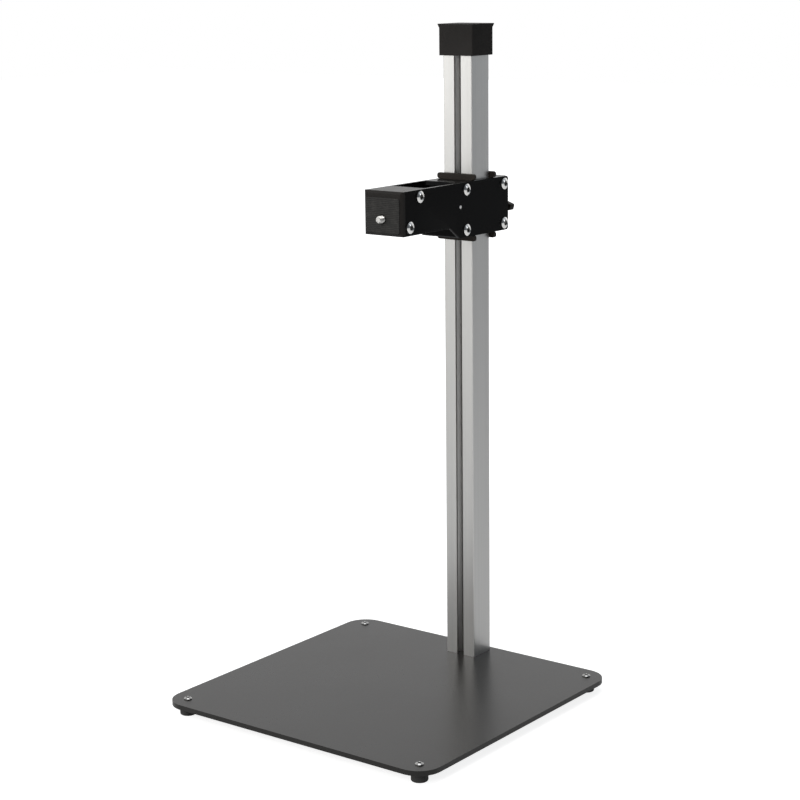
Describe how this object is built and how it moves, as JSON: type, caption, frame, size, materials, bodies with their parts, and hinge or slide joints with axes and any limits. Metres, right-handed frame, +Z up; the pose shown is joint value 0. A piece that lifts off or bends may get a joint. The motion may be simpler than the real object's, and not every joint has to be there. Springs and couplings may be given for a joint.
{
  "type": "copy stand",
  "caption": "Copy stand: a slotted upright on a flat base plate, with a sliding clamp carriage whose arm holds a camera by its tripod socket.",
  "frame": {"origin": "on the floor under the feet, at the middle of the stand's bounding box", "axes": "+Z up along the column, -Y the side the arm reaches to, where the camera hangs and the operator stands, +X to the operator's right"},
  "size_m": [0.2956, 0.3226, 0.6087],
  "materials": {
    "base_paint": "satin",
    "frame_paint": "satin",
    "anodised": "satin",
    "cap_plastic": "matte",
    "pad_plastic": "matte",
    "knob_plastic": "matte",
    "foot_rubber": "matte",
    "face_rubber": "matte",
    "bright_screws": "polished",
    "plain_steel": "satin",
    "brass": "satin"
  },
  "bodies": {
    "stand": {"base_plate": "base_paint", "foot_front_left": "foot_rubber", "foot_front_right": "foot_rubber", "foot_back_left": "foot_rubber", "foot_back_right": "foot_rubber", "foot_screws": "bright_screws", "foot_nuts": "plain_steel", "column": "anodised", "column_bolts": "plain_steel", "column_washers": "plain_steel", "column_cap": "cap_plastic"},
    "carriage": {"side_plate_left": "frame_paint", "side_plate_right": "frame_paint", "front_block": "frame_paint", "rear_block": "frame_paint", "front_pad": "pad_plastic", "carriage_screws_left": "bright_screws", "carriage_screws_right": "bright_screws", "block_dowels": "bright_screws", "camera_block": "frame_paint", "arm_screws_left": "bright_screws", "arm_screws_right": "bright_screws", "camera_face_pad": "face_rubber", "camera_washer": "brass"},
    "brake": {"brake_pad": "pad_plastic"},
    "clamp": {"clamp_screw": "plain_steel", "clamp_knob": "knob_plastic"},
    "camera_fixing": {"camera_screw": "plain_steel", "camera_knob": "knob_plastic", "camera_knob_grub": "plain_steel"}
  },
  "joints": [
    {"name": "carriage_slide", "type": "slide", "parent": "stand", "child": "carriage", "axis": [0, 0, 1], "range_m": [-0.3996, 0.1051]},
    {"name": "brake_slide", "type": "slide", "parent": "carriage", "child": "brake", "axis": [0, -1, 0], "range_m": [0, 0.0005]},
    {"name": "clamp_turn", "type": "hinge", "parent": "brake", "child": "clamp", "pos_m": [0, 0.1463, 0.4445], "axis": [0, -1, 0], "range_deg": [0, 180]},
    {"name": "camera_screw_turn", "type": "hinge", "parent": "carriage", "child": "camera_fixing", "pos_m": [0, -0.0167, 0.4448], "axis": [0, -1, 0], "continuous": true}
  ],
  "couplings": [
    {"joint": "clamp_turn", "follows": "brake_slide", "rad_per_m": 6283}
  ]
}
